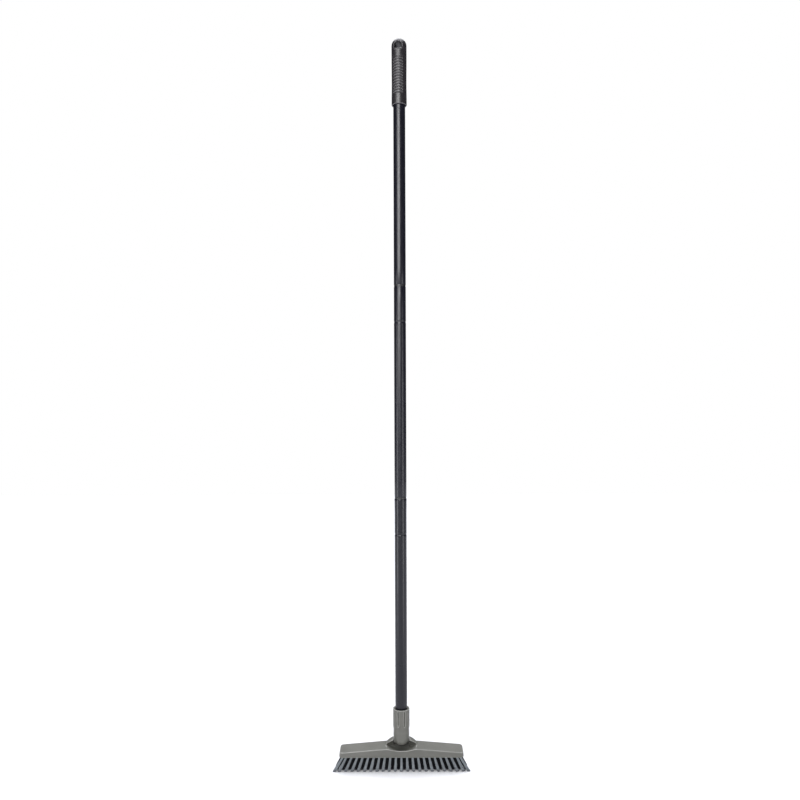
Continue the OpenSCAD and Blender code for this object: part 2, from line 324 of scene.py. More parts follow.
def mesh_object(name, points, faces, material, sharp=None):
    """An object from points in millimetres and faces, shaded smooth."""
    mesh = bpy.data.meshes.new(name)
    mesh.from_pydata((np.asarray(points) * MM).tolist(), [], [tuple(map(int, f)) for f in faces])
    mesh.validate()
    mesh.shade_smooth()
    if sharp is not None:
        mesh.set_sharp_from_angle(angle=math.radians(sharp))
    mesh.materials.append(material)
    made = bpy.data.objects.new(name, mesh)
    bpy.context.scene.collection.objects.link(made)
    return made


def stand_for(piece, node, slot):
    """The piece takes the place of a CAD node and rides on its body."""
    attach(piece, frame["nodes"][node]["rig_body"])
    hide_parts(node)
    return piece


def round_grid(radius_at, zs, segments):
    """The points and faces of a closed tube whose radius is radius_at(angle, z)."""
    angles = np.arange(segments) * 2 * math.pi / segments
    a, z = np.meshgrid(angles, zs)
    r = radius_at(a, z)
    points = np.stack([r * np.cos(a), r * np.sin(a), z], axis=-1).reshape(-1, 3)
    return points, ring_faces(len(zs), segments)


def ring_faces(rings, segments, closed=False):
    """Quads between successive rings of points; closed joins the last ring to the first."""
    faces = []
    for i in range(rings if closed else rings - 1):
        low, high = i * segments, (i + 1) % rings * segments
        for k in range(segments):
            m = (k + 1) % segments
            faces.append((low + k, low + m, high + m, high + k))
    return faces


def lathe(name, profile, material, segments=96, sharp=32, turn=None):
    """A ring turned about Z from a closed profile of (radius, height) points, counterclockwise."""
    angles = np.arange(segments) * 2 * math.pi / segments
    points = [(r * math.cos(a), r * math.sin(a), z) for r, z in profile for a in angles]
    points = np.array(points) if turn is None else np.array([turn(p) for p in points])
    return mesh_object(name, points, ring_faces(len(profile), segments, closed=True), material, sharp)


def rounded(corners, radius, steps=4):
    """A closed profile with each corner rounded. A corner may carry its own radius third."""
    path = []
    count = len(corners)
    for i, corner in enumerate(corners):
        here = np.array(corner[:2], float)
        size = corner[2] if len(corner) > 2 else radius
        before = np.array(corners[i - 1][:2], float) - here
        after = np.array(corners[(i + 1) % count][:2], float) - here
        a, b = before / np.linalg.norm(before), after / np.linalg.norm(after)
        half = math.acos(max(-1, min(1, float(a @ b)))) / 2
        if size == 0 or math.pi / 2 - half < 0.02:
            path.append(tuple(here))
            continue
        reach = min(size / math.tan(half), 0.49 * np.linalg.norm(before), 0.49 * np.linalg.norm(after))
        start, end = here + a * reach, here + b * reach
        for t in np.linspace(0, 1, steps + 1):
            path.append(tuple((1 - t) ** 2 * start + 2 * t * (1 - t) * here + t * t * end))
    return path


# ---- distance fields ----------------------------------------------------------------------
# Each field is negative inside its solid. both() and without() round the edge they make, and
# either() fills the corner it makes, each to the radius r.


def both(a, b, r=0.0):
    """Inside both fields."""
    if r == 0:
        return np.maximum(a, b)
    return np.minimum(-r, np.maximum(a, b)) + np.hypot(np.maximum(a + r, 0), np.maximum(b + r, 0))


def either(a, b, r=0.0):
    """Inside either field."""
    return -both(-a, -b, r)


def without(a, b, r=0.0):
    """Inside a and outside b."""
    return both(a, -b, r)


def dish(out, along, radius, depth):
    """A flattened ball: out is the distance from its axis, and along the distance along it."""
    k = np.sqrt((out / radius) ** 2 + (along / depth) ** 2)
    slope = np.sqrt((out / radius**2) ** 2 + (along / depth**2) ** 2)
    return k * (k - 1) / np.maximum(slope, 1e-6)


def slab(v, low, high):
    return np.maximum(low - v, v - high)


def eased(t):
    """A smooth step over t from 0 to 1."""
    return t * t * (3 - 2 * t)


def field_mesh(name, field, low, high, cell, material):
    """A smooth quad mesh of the surface where field(x, y, z) is zero, between two corners."""
    axes = [np.arange(a - 2 * cell, b + 2 * cell, cell) for a, b in zip(low, high)]
    shape = tuple(len(a) for a in axes)
    values = np.broadcast_to(field(*np.ix_(*axes)), shape)
    inside = values < 0
    size = math.prod(shape)
    totals = np.zeros((3, size))
    hits = np.zeros(size)
    loops = []
    strides = np.array([shape[1] * shape[2], shape[2], 1])
    for axis in range(3):
        first = [slice(None)] * 3
        second = [slice(None)] * 3
        first[axis] = slice(None, -1)
        second[axis] = slice(1, None)
        starts = inside[tuple(first)]
        edges = np.argwhere(starts != inside[tuple(second)])
        f0 = values[tuple(first)][tuple(edges.T)]
        f1 = values[tuple(second)][tuple(edges.T)]
        crossing = edges.astype(float)
        crossing[:, axis] += f0 / (f0 - f1)
        b, c = strides[(axis + 1) % 3], strides[(axis + 2) % 3]
        flat = edges @ strides
        around = np.stack([flat, flat - b, flat - b - c, flat - c], axis=1)
        for k in range(4):
            hits += np.bincount(around[:, k], minlength=size)
            for d in range(3):
                totals[d] += np.bincount(around[:, k], weights=crossing[:, d], minlength=size)
        outward = starts[tuple(edges.T)]
        loops.append(np.where(outward[:, None], around, around[:, ::-1]))
    used = np.flatnonzero(hits)
    number = np.zeros(size, int)
    number[used] = np.arange(len(used))
    origin = np.array([a[0] for a in axes])
    points = (totals[:, used] / hits[used]).T * cell + origin
    points = settle(points, field, cell)
    piece = mesh_object(name, points, number[np.concatenate(loops)], material)
    stored = piece.data.attributes.new(EXPOSURE, "FLOAT", "POINT")
    stored.data.foreach_set("value", exposure(points, field))
    return piece


def beside(points, field, step):
    """The field's values one step ahead of and behind the points, on each axis in turn."""
    for aside in np.eye(3) * step:
        yield field(*(points + aside).T), field(*(points - aside).T)


def exposure(points, field, reach=0.8):
    """How much each point stands out: near 0 on flat and hollow parts, and 1 on a sharp edge."""
    total = -6 * field(*points.T)
    for ahead, behind in beside(points, field, reach):
        total = total + ahead + behind
    return np.clip(total / reach, 0, 1).astype(np.float32)


def settle(points, field, cell, rounds=3, step=0.03, least_slope=0.2):
    """Moves points onto the zero surface along the field's slope."""
    for _ in range(rounds):
        value = field(*points.T)
        slopes = [(ahead - behind) / (2 * step) for ahead, behind in beside(points, field, step)]
        slope = np.stack(slopes, axis=1)
        length = np.maximum((slope**2).sum(1), least_slope)
        move = slope * (value / length)[:, None]
        points = points - np.clip(move, -cell / 2, cell / 2)
    return points


# ---- brush block --------------------------------------------------------------------------

block_low, block_high = box_mm("brush_block")
pivot = joint_mm("socket_tilt")
pin_low, pin_high = box_mm("pivot_pin")
PIN_R = (pin_high[2] - pin_low[2]) / 2

# The size of a mesh cell, and how far a space runs into the next one so that they join.
BLOCK_CELL = 0.6
OVERLAP = 1

# The pin's hole: the gap around the pin and past its ends, and the rounding of its rim.
PIN_GAP = 0.06
PIN_END_GAP = 0.1
PIN_EDGE_R = 0.4

# The block: flat-topped between its shoulders, then sloping down to its ends.
UNDER_Z = block_low[2]
BLOCK_HALF = block_high[0]
BLOCK_FRONT = block_low[1]
BLOCK_BACK = block_high[1]
END_TOP_Z = 31.4
MID_TOP_Z = 38.4
END_DRAFT = 0.8
PLAN_R = 6
TOP_EDGE_R = 1.6
UNDER_EDGE_R = 0.9
SHOULDER_X = 28
SHOULDER_SOFT = 6

# The hood: the top of a wide cylinder along Y.
HOOD_R = 39.3
HOOD_Z = 11.7
HOOD_FRONT = -4
HOOD_EDGE_R = 0.7
HOOD_BACK_R = 5.5
HOOD_FOOT_R = 1.2
HOOD_SINK = 2
HOOD_LEAN = math.radians(28)

# The opening the socket tilts in. The trough's floor is the lowest part of a wide cylinder.
BOWL_Y = -1.5
BOWL_Z = -2.3
BOWL_R = 51
BOWL_DEEP = 13.5
BOWL_EDGE_R = 1.5
PIT_HALF = 30
PIT_EDGE_R = 1.2
OPENING_FILLET_R = 1.2
OPENING_EDGE_R = 0.6
TROUGH_Z = 30.6
TROUGH_R = 52
SLOT_HALF = 14.9
SLOT_BACK = 15
SLOT_CORNER_R = 2.5

# The rim along the front, which dips in the middle.
RIM_W = 2.2
RIM_LOW_Z = 34.6
RIM_DIP_R = 88.8
RIM_EDGE_R = 0.9
RIM_DIP_PAST = 0.1

# The tufts' holes: five rows, the long ones with a tuft at each corner that leans further out.
TUFT_PITCH = 10.1
ROW_PITCH = 7.4
ROWS = (1, 2, 3, 4, 5)
MID_ROW = 3
LONG_ROW_HALF = 10
LONG_ROW_END = LONG_ROW_HALF * TUFT_PITCH
CORNER_X = LONG_ROW_END + 6.5
ROW_END_LEAN = math.radians(29)
CORNER_LEAN = math.radians(34)
OUTER_ROW_LEAN = math.radians(18)
LEAN_DROP = 0.12
INNER_LEAN = 0.92
HOLE_R = 2.15
HOLE_DEEP = 3.0
HOLE_FLOOR_R = 0.4
HOLE_EDGE_R = 0.5
FAR = 1000.0


def row_xs(row):
    """Odd rows have a tuft in the middle and one at each corner; even rows are half a pitch off."""
    if row % 2:
        even = np.arange(-LONG_ROW_HALF, LONG_ROW_HALF + 1) * TUFT_PITCH
        return np.concatenate([[-CORNER_X], even, [CORNER_X]])
    return (np.arange(-LONG_ROW_HALF - 1, LONG_ROW_HALF + 1) + 0.5) * TUFT_PITCH


def row_y(row):
    return (row - MID_ROW) * ROW_PITCH


def is_outer(row):
    return row in (ROWS[0], ROWS[-1])


def lean_x(x, row):
    corner = np.abs(x) > LONG_ROW_END + 1
    lean = np.where(corner, np.sign(x) * CORNER_LEAN, x / LONG_ROW_END * ROW_END_LEAN)
    return (1 - LEAN_DROP * (row - 1)) * lean


def lean_y(row):
    share = 1 if is_outer(row) else INNER_LEAN
    return math.copysign(share * OUTER_ROW_LEAN, row - MID_ROW) if row != MID_ROW else 0.0


def tuft_holes(x, y, z):
    """The holes that hold the tufts, each along its own tuft."""
    field = np.full(np.broadcast(x, y, z).shape, FAR)
    for row in ROWS:
        xs = row_xs(row)
        centre = xs[np.searchsorted((xs[1:] + xs[:-1]) / 2, x)]
        lean = lean_x(centre, row)
        up = z - UNDER_Z
        across = (x - centre + up * np.tan(lean)) * np.cos(lean)
        along = y - row_y(row) + up * math.tan(lean_y(row))
        hole = both(np.hypot(across, along) - HOLE_R, up - HOLE_DEEP, HOLE_FLOOR_R)
        field = np.minimum(field, hole)
    return field


def pin_hole_field(y, z):
    return np.hypot(y - pivot[1], z - pivot[2]) - PIN_R - PIN_GAP


def block_body(x, y, z):
    """The block without its hood: drafted ends, and a top that slopes down past the shoulders."""
    rise = (z - UNDER_Z) / (END_TOP_Z - UNDER_Z)
    half = BLOCK_HALF - END_DRAFT * rise
    plan = both(np.abs(x) - half, np.abs(y) - BLOCK_BACK, PLAN_R)
    slope = (MID_TOP_Z - END_TOP_Z) / (BLOCK_HALF - END_DRAFT - SHOULDER_X)
    past = np.abs(x) - SHOULDER_X
    bend = (past + SHOULDER_SOFT) ** 2 / (4 * SHOULDER_SOFT)
    beyond = np.where(past > SHOULDER_SOFT, past, np.where(past < -SHOULDER_SOFT, 0, bend))
    roof = (z - MID_TOP_Z + slope * beyond) / math.hypot(1, slope)
    return both(both(plan, roof, TOP_EDGE_R), UNDER_Z - z, UNDER_EDGE_R)


def block_hood(x, y, z):
    """The round hood behind the socket. Its front leans back above the block's top."""
    leaning = (HOOD_FRONT - y) * math.cos(HOOD_LEAN) + (z - MID_TOP_Z) * math.sin(HOOD_LEAN)
    front = np.maximum(HOOD_FRONT - y, leaning)
    hood = both(np.hypot(x, z - HOOD_Z) - HOOD_R, front, HOOD_EDGE_R)
    return both(both(hood, y - BLOCK_BACK, HOOD_BACK_R), TROUGH_Z - HOOD_SINK - z)


def block_opening(x, y, z):
    """The space the socket tilts in: a pit in front, a bowl under the hood and the foot's slot."""
    trough = np.hypot(x, z - TROUGH_Z - TROUGH_R) - TROUGH_R
    pit_plan = dish(x, y - HOOD_FRONT, PIT_HALF, HOOD_FRONT - BLOCK_FRONT - RIM_W)
    pit = both(both(trough, pit_plan, PIT_EDGE_R), y - HOOD_FRONT - OVERLAP)
    bowl = dish(np.hypot(x, z - BOWL_Z), y - BOWL_Y, BOWL_R, BOWL_DEEP)
    under_hood = slab(y, HOOD_FRONT - OVERLAP, SLOT_BACK)
    bowl = both(both(bowl, trough, BOWL_EDGE_R), under_hood)
    slot = both(both(np.abs(x) - SLOT_HALF, under_hood, SLOT_CORNER_R), trough)
    return either(either(pit, bowl), slot, OPENING_FILLET_R)


def block_field(x, y, z):
    solid = either(block_body(x, y, z), block_hood(x, y, z), HOOD_FOOT_R)
    solid = without(solid, block_opening(x, y, z), OPENING_EDGE_R)
    dip = np.hypot(x, z - RIM_LOW_Z - RIM_DIP_R) - RIM_DIP_R
    solid = without(solid, both(dip, y - HOOD_FRONT - RIM_DIP_PAST), RIM_EDGE_R)
    pin_hole = both(pin_hole_field(y, z), np.abs(x) - pin_high[0] - PIN_END_GAP)
    solid = without(solid, pin_hole, PIN_EDGE_R)
    return without(solid, tuft_holes(x, y, z), HOLE_EDGE_R)


def make_block(material):
    block = field_mesh("block", block_field, block_low, block_high, BLOCK_CELL, material)
    return stand_for(block, "brush_block", "olive_plastic")


# ---- handle socket ------------------------------------------------------------------------

socket_low, socket_high = box_mm("handle_socket")
TIP_Z = box_mm("pole_tip")[0][2]
TUBE_R = (box_mm("middle_tube")[1][0] - box_mm("middle_tube")[0][0]) / 2

SOCKET_CELL = 0.42

# The outside: a ball foot with a boss on each side, and a barrel that widens at its flutes.
FOOT_R = 14.4
FOOT_Z = socket_low[2] + FOOT_R
SOCKET_TOP = socket_high[2]
SOCKET_R = 15.2
BARREL_LOW_R = 14.8
BARREL_WAIST_R = 14.6
BARREL_EDGE_R = 0.8
BOSS_R = 4.4
BOSS_HALF = 13.6
BOSS_EDGE_R = 0.5
BOSS_FILLET_R = 0.6
FLUTE_LOW_Z = 76.2
FLUTE_HIGH_Z = 104.4
FLUTE_HALF_W = 1.35
FLUTE_DEEP = 2.6
FLUTE_RAMP = 0.7
FLUTE_FLOOR_R = 0.5
FLUTE_END_R = 0.3
FLUTE_EDGE_R = 0.35
FLUTES = 8

# The inside: a bore for the tube with a flared mouth, and a narrower well for the thread.
SEAT_GAP = 0.4
SEAT_Z = box_mm("socket_washer")[0][2] - SEAT_GAP
WELL_R = 9.55
WELL_SPARE = 2
WELL_FLOOR_R = 0.5
BORE_GAP = 0.35
BORE_FLOOR_R = 0.3
MOUTH_H = 1.4
MOUTH_SLOPE = 0.75
MOUTH_EDGE_R = 0.5
SOCKET_PIN_EDGE_R = 0.3


def profile_radius(z, stops):
    """A smooth radius through (height, radius) stops."""
    heights = [s[0] for s in stops]
    radii = [s[1] for s in stops]
    r = np.full(np.shape(z), float(radii[0]))
    for z0, z1, r0, r1 in zip(heights, heights[1:], radii, radii[1:]):
        t = np.clip((z - z0) / (z1 - z0), 0, 1)
        r = r + (r1 - r0) * eased(t)
    return r


def socket_field(x, y, z):
    """The handle socket, with its flutes, the pole's bore and the pin's hole."""
    radius = np.hypot(x, y)
    barrel_r = profile_radius(z, [
        (FOOT_Z, FOOT_R), (FOOT_Z + 6, BARREL_LOW_R), (FLUTE_LOW_Z - 7, BARREL_WAIST_R),
        (FLUTE_LOW_Z - 2.5, SOCKET_R),
    ])
    barrel = both(both(radius - barrel_r, z - SOCKET_TOP, BARREL_EDGE_R), FOOT_Z - z)
    foot = np.sqrt(x * x + y * y + (z - FOOT_Z) ** 2) - FOOT_R
    solid = np.minimum(barrel, foot)
    boss = np.hypot(y - pivot[1], z - pivot[2]) - BOSS_R
    solid = either(solid, both(boss, np.abs(x) - BOSS_HALF, BOSS_EDGE_R), BOSS_FILLET_R)

    turn = 2 * math.pi / FLUTES
    angle = np.mod(np.arctan2(y, x), turn) - turn / 2
    sides = np.abs(radius * np.sin(angle)) - FLUTE_HALF_W
    bottom = SOCKET_R - FLUTE_DEEP - radius * np.cos(angle)
    ramp = (SOCKET_R - radius - (z - FLUTE_LOW_Z) * FLUTE_RAMP) / math.hypot(1, FLUTE_RAMP)
    ends = both(ramp, z - FLUTE_HIGH_Z, FLUTE_END_R)
    flute = both(both(sides, bottom, FLUTE_FLOOR_R), ends)
    solid = without(solid, flute, FLUTE_EDGE_R)

    bore = radius - TUBE_R - BORE_GAP
    cone = (bore - (z - SOCKET_TOP + MOUTH_H) * MOUTH_SLOPE) / math.hypot(1, MOUTH_SLOPE)
    bore = both(np.minimum(bore, cone), SEAT_Z - z, BORE_FLOOR_R)
    solid = without(solid, bore, MOUTH_EDGE_R)
    solid = without(solid, both(radius - WELL_R, TIP_Z - WELL_SPARE - z, WELL_FLOOR_R))
    return without(solid, pin_hole_field(y, z), SOCKET_PIN_EDGE_R)


def make_socket(material):
    piece = field_mesh("socket", socket_field, socket_low, socket_high, SOCKET_CELL, material)
    return stand_for(piece, "handle_socket", "olive_plastic")


# ---- hand grip ----------------------------------------------------------------------------

grip_low, grip_high = box_mm("hand_grip")
GRIP_CELL = 0.5

# The body: a cylinder under a dome, turned a little about the pole.
GRIP_R = 13.9
GRIP_FOOT_R = 1.4
GRIP_TURN = math.radians(-10)
GRIP_TOP = grip_high[2]
GRIP_LOW = grip_low[2]
DOME_Z = GRIP_TOP - GRIP_R

# The hanging eye: arched above and flat below, with a raised lip around it.
EYE_R = 7.6
EYE_Z = 1327
EYE_SILL_Z = 1322
EYE_SILL_R = 2.0
EYE_EDGE_R = 1.0
EYE_LIP_W = 2.4
EYE_LIP_OUT = 0.7
EYE_LIP_R = 0.6

# The ribs: grooves that go part of the way round, between the two angles of RIB_ARC.
RIB_PITCH = 5.1
RIB_LOW_Z = 1241
RIBS = 14
RIB_DEEP = 1.1
RIB_HALF_W = 1.6
RIB_ARC = (math.radians(34), math.radians(44))

# The bore for the tube, with a flared mouth.
TUBE_TOP = box_mm("upper_tube")[1][2]
GRIP_BORE_GAP = 0.05
GRIP_MOUTH_W = 1.5
GRIP_MOUTH_SLOPE = 0.8
GRIP_EDGE_R = 0.4


def grip_field(x, y, z):
    """The grip, with ribs on its front and back and an arched eye through its dome."""
    across = x * math.cos(GRIP_TURN) + y * math.sin(GRIP_TURN)
    deep = y * math.cos(GRIP_TURN) - x * math.sin(GRIP_TURN)
    radius = np.hypot(x, y)
    body_r = profile_radius(z, [
        (GRIP_LOW, GRIP_R + 0.1), (GRIP_LOW + 10, GRIP_R), (GRIP_LOW + 37, GRIP_R - 0.3),
        (DOME_Z - 18, GRIP_R),
    ])
    side = np.arctan2(np.abs(across), np.abs(deep) + 1e-6)
    arc = eased(np.clip((RIB_ARC[1] - side) / (RIB_ARC[1] - RIB_ARC[0]), 0, 1))
    step = np.clip(np.round((z - RIB_LOW_Z) / RIB_PITCH), 0, RIBS - 1)
    away = np.abs(z - RIB_LOW_Z - step * RIB_PITCH) / RIB_HALF_W
    groove = np.maximum(1 - away * away, 0) ** 1.5
    fade = np.clip((RIBS + 0.5 - step) / 3, 0.25, 1)
    body_r = body_r - RIB_DEEP * arc * groove * fade
    dome = np.sqrt(radius**2 + np.maximum(z - DOME_Z, 0) ** 2) - body_r
    solid = both(dome, GRIP_LOW - z, GRIP_FOOT_R)

    eye = np.hypot(across, np.maximum(z - EYE_Z, 0)) - EYE_R
    eye = both(eye, EYE_SILL_Z - z, EYE_SILL_R)
    lip = both(dome - EYE_LIP_OUT, eye - EYE_LIP_W, EYE_LIP_R)
    solid = without(either(solid, lip, EYE_LIP_R), eye, EYE_EDGE_R)

    bore = both(radius - TUBE_R - GRIP_BORE_GAP, z - TUBE_TOP, BORE_FLOOR_R)
    mouth = radius - TUBE_R - GRIP_MOUTH_W + (z - GRIP_LOW) * GRIP_MOUTH_SLOPE
    mouth = mouth / math.hypot(1, GRIP_MOUTH_SLOPE)
    return without(solid, np.minimum(bore, mouth), GRIP_EDGE_R)


def make_grip(material):
    piece = field_mesh("grip", grip_field, grip_low, grip_high, GRIP_CELL, material)
    return stand_for(piece, "hand_grip", "grip_plastic")


# ---- tubes, rings, connectors -------------------------------------------------------------

# The tubes. A rolled groove under each seam holds the nut; a bulge is (offset, width, swell).
WALL = 0.6
TUBE_SEGMENTS = 128
SEAM_H = 1.7
CRIMP_DROP = 67
CRIMP_DEEP = 0.42
CRIMP_HALF = 2.3
CRIMP_REACH = (-9, 7)
CRIMP_CLEAR = 10
CRIMP_BULGES = ((-4.2, 1.6, 0.1), (3.9, 1.4, 0.05))
RIM_H = 0.25
RIM_BEVEL = 0.1
FLARE = 0.3
FLARE_LEN = 35

# The male connectors. The crest and flank are shares of the thread's pitch.
NUT_R = 8.05
PITCH = 5.08
THREAD_DEEP = 1.5
THREAD_CREST = 0.31
THREAD_FLANK = 0.12
THREAD_RINGS = 110
THREAD_RUN_IN = 3
THREAD_RUN_OUT = 2.5
SHANK_LEN = 35
TIP_SHANK_R = 9.5
PLUG_SHANK_R = 8.0
TIP_BEVEL = 1
SPIGOT_GAP = 0.05
SPIGOT_LEAD = 1.2
CORE_R = 5.0
CORE_FLOOR = 12
CORNER_R = 0.4
CONNECTOR_SEGMENTS = 84


def tube_radius(z, high, crimp_z, flare):
    """The outer radius of a tube: a rolled groove between soft bulges, and a widened mouth."""
    r = TUBE_R
    if crimp_z:
        away = abs(z - crimp_z) / CRIMP_HALF
        if away < 1:
            r -= CRIMP_DEEP * 0.5 * (1 + math.cos(math.pi * away))
        for offset, width, swell in CRIMP_BULGES:
            r += swell * math.exp(-(((z - crimp_z - offset) / width) ** 2))
    if flare:
        t = max(0.0, 1 - (high - z) / FLARE_LEN)
        r += flare * t * t
    return r


def make_tube(node, material, crimped, flare=0.0):
    low, high = (c[2] for c in box_mm(node))
    crimp_z = high + SEAM_H - CRIMP_DROP if crimped else None
    fine, mouth = [], []
    plain = np.linspace(low + RIM_H, high - RIM_H, 14).tolist()
    if crimped:
        fine = [crimp_z + d for d in np.linspace(*CRIMP_REACH, 49)]
        plain = [z for z in plain if abs(z - crimp_z) >= CRIMP_CLEAR]
    if flare:
        mouth = [high - RIM_H - d for d in np.linspace(FLARE_LEN, 0, 12)]
        plain = [z for z in plain if z <= high - FLARE_LEN]
    zs = sorted(plain + fine + mouth)
    outer = [(tube_radius(z, high, crimp_z, flare), z) for z in zs]
    inner = [(r - WALL, z) for r, z in outer]
    low_rim = [(inner[0][0] + RIM_BEVEL, low), (outer[0][0] - RIM_BEVEL, low)]
    high_rim = [(outer[-1][0] - RIM_BEVEL, high), (inner[-1][0] + RIM_BEVEL, high)]
    profile = low_rim + outer + high_rim + inner[::-1]
    piece = lathe(node + "_steel", profile, material, segments=TUBE_SEGMENTS, sharp=50)
    return stand_for(piece, node, "coated_tube")


def make_washer(node, material):
    (_, _, z0), (r_out, _, z1) = box_mm(node)
    r_in = WELL_R if node == "socket_washer" else NUT_R
    size = min(0.6, (z1 - z0) / 3)
    profile = rounded([(r_in, z0), (r_out, z0), (r_out, z1), (r_in, z1)], size)
    return stand_for(lathe(node + "_ring", profile, material), node, "black_nylon")


def thread_radius(a, z, low, high, crest):
    """The radius of a right-handed trapezoidal thread that fades out at both ends."""
    phase = np.mod(z / PITCH - a / (2 * math.pi), 1)
    ramp = np.clip((THREAD_CREST - np.abs(phase - 0.5)) / THREAD_FLANK, 0, 1)
    fade = np.clip((z - low) / THREAD_RUN_IN, 0, 1) * np.clip((high - z) / THREAD_RUN_OUT, 0, 1)
    return crest - THREAD_DEEP + THREAD_DEEP * ramp * fade


def make_connector(node, shank_r, material):
    """A male connector: a threaded shank under a plain spigot with a hollow core."""
    low, high = (c[2] for c in box_mm(node))
    seat = low + SHANK_LEN
    core_floor = seat - CORE_FLOOR
    spigot_r = TUBE_R - WALL - SPIGOT_GAP
    segments = CONNECTOR_SEGMENTS
    zs = np.linspace(low + TIP_BEVEL, seat, THREAD_RINGS)
    points, faces = round_grid(lambda a, z: thread_radius(a, z, low, seat, shank_r), zs, segments)
    cap = rounded([
        (spigot_r, seat), (spigot_r, high, SPIGOT_LEAD), (CORE_R, high), (CORE_R, core_floor, 0),
    ], CORNER_R)
    tip = [(shank_r - THREAD_DEEP - TIP_BEVEL, low)]
    angles = np.arange(segments) * 2 * math.pi / segments
    rings = [(r * math.cos(a), r * math.sin(a), z) for r, z in cap + tip for a in angles]
    shank_top = (len(zs) - 1) * segments
    cap_first = len(points)
    cap_last = cap_first + (len(cap) - 1) * segments
    tip_ring = cap_last + segments
    points = np.concatenate([points, rings, [(0, 0, low), (0, 0, core_floor)]])
    tip_centre, core_centre = len(points) - 2, len(points) - 1
    for k in range(segments):
        m = (k + 1) % segments
        faces.append((shank_top + k, shank_top + m, cap_first + m, cap_first + k))
        faces.append((tip_ring + k, tip_ring + m, m, k))
        faces.append((tip_centre, tip_ring + m, tip_ring + k))
        faces.append((core_centre, cap_last + k, cap_last + m))
    faces += [tuple(cap_first + i for i in f) for f in ring_faces(len(cap), segments)]
    piece = mesh_object(node + "_screw", points, faces, material, sharp=40)
    return stand_for(piece, node, "black_nylon")


def make_pin(material):
    """The pin, turned about its own axis and then laid along X through the pivot."""
    half = pin_high[0]
    bevel = 0.5
    centre = 0.01
    end = [(centre, -half), (PIN_R - bevel, -half), (PIN_R, -half + bevel)]
    profile = end + [(r, -along) for r, along in reversed(end)]

    def lay(point):
        return point[2], pivot[1] + point[0], pivot[2] + point[1]

    piece = lathe("steel_pin", profile, material, segments=48, sharp=30, turn=lay)
    return stand_for(piece, "pivot_pin", "steel")


# ---- tufts --------------------------------------------------------------------------------

# One tuft: a bundle of filaments that spreads from its root to its tip. The flare shapes the
# spread, and the jitter, wander, wave and trim are how far filaments differ from one another.
FILAMENTS = 64
FILAMENT_R = 0.24
FILAMENT_SIDES = 4
FILAMENT_RINGS = 5
ROOT_DEEP = 2.4
ROOT_SPREAD = 1.65
TIP_SPREAD = 2.6
INNER_TIP_SPREAD = 3.1
INNER_FLARE = 0.5
OUTER_FLARE = 0.9
TIP_JITTER = 0.05
WANDER = 0.12
WAVE = 0.10
TRIM = 0.15
FLOOR_GAP = 0.02
GOLDEN = math.pi * (3 - math.sqrt(5))


def tuft_points(x, y, lx, ly, tip, flare, rng):
    """The filaments of one tuft as rings of points, from inside the block down to the floor."""
    i = np.arange(FILAMENTS)
    share = np.sqrt((i + 0.5) / FILAMENTS)
    angle = i * GOLDEN + rng.uniform(0, 2 * math.pi)
    spread = tip * (1 + rng.normal(0, TIP_JITTER, FILAMENTS))
    wander = rng.normal(0, WANDER, (2, FILAMENTS))
    wave = rng.uniform(0, 2 * math.pi, FILAMENTS)
    trim = np.abs(rng.normal(0, TRIM, FILAMENTS)) + FLOOR_GAP
    top = UNDER_Z + ROOT_DEEP
    rings = []
    for t in np.linspace(0, 1, FILAMENT_RINGS):
        z = top * (1 - t) + trim * t
        bend = np.clip((UNDER_Z - z) / UNDER_Z, 0, 1)
        out = ROOT_SPREAD + (spread - ROOT_SPREAD) * bend**flare
        px = x + (UNDER_Z - z) * math.tan(lx) + share * out * np.cos(angle) / math.cos(lx)
        py = y + (UNDER_Z - z) * math.tan(ly) + share * out * np.sin(angle)
        px = px + wander[0] * bend + WAVE * np.sin(wave + 7 * t)
        py = py + wander[1] * bend + WAVE * np.cos(wave + 7 * t)
        rings.append(np.stack([px, py, z], axis=1))
    return np.stack(rings, axis=1)


def tuft_row(row, material, slot):
    rng = np.random.default_rng(100 + row)
    shape = (TIP_SPREAD, OUTER_FLARE) if is_outer(row) else (INNER_TIP_SPREAD, INNER_FLARE)
    y, ly = row_y(row), lean_y(row)
    paths = [tuft_points(x, y, float(lean_x(x, row)), ly, *shape, rng) for x in row_xs(row)]
    paths = np.concatenate(paths)
    turn = np.arange(FILAMENT_SIDES) * 2 * math.pi / FILAMENT_SIDES + math.pi / 4
    ring = np.stack([np.cos(turn), np.sin(turn), 0 * turn], axis=1) * FILAMENT_R
    points = (paths[:, :, None, :] + ring[None, None]).reshape(-1, 3)
    each = FILAMENT_RINGS * FILAMENT_SIDES
    hair = [f[::-1] for f in ring_faces(FILAMENT_RINGS, FILAMENT_SIDES)]
    hair += [tuple(range(FILAMENT_SIDES)), tuple(range(each - 1, each - 1 - FILAMENT_SIDES, -1))]
    faces = [tuple(v + n * each for v in f) for n in range(len(paths)) for f in hair]
    piece = mesh_object(f"bristles_{row}", points, faces, material, sharp=60)
    return stand_for(piece, f"tuft_row_{row}", slot)


# ---- studio -------------------------------------------------------------------------------

FLOOR_HALF = 4
FLOOR_DROP = 0.0002
ROOM_SEEN = 0.06
ROOM_FILL = 0.16
OVERHEAD_POWER = 3.55


def add_lamp(name, kind, power):
    data = bpy.data.lights.new(name, kind)
    data.energy = power
    lamp = bpy.data.objects.new(name, data)
    bpy.context.scene.collection.objects.link(lamp)
    return lamp


def area_light(name, place, target, size, power, sheen=False):
    """A soft box. A sheen box only shows as a reflection and lights nothing."""
    lamp = add_lamp(name, "AREA", power)
    lamp.data.shape = "RECTANGLE"
    lamp.data.size, lamp.data.size_y = size
    lamp.location = place
    lamp.rotation_euler = (Vector(target) - Vector(place)).to_track_quat("-Z", "Y").to_euler()
    lamp.visible_camera = False
    lamp.visible_diffuse = not sheen


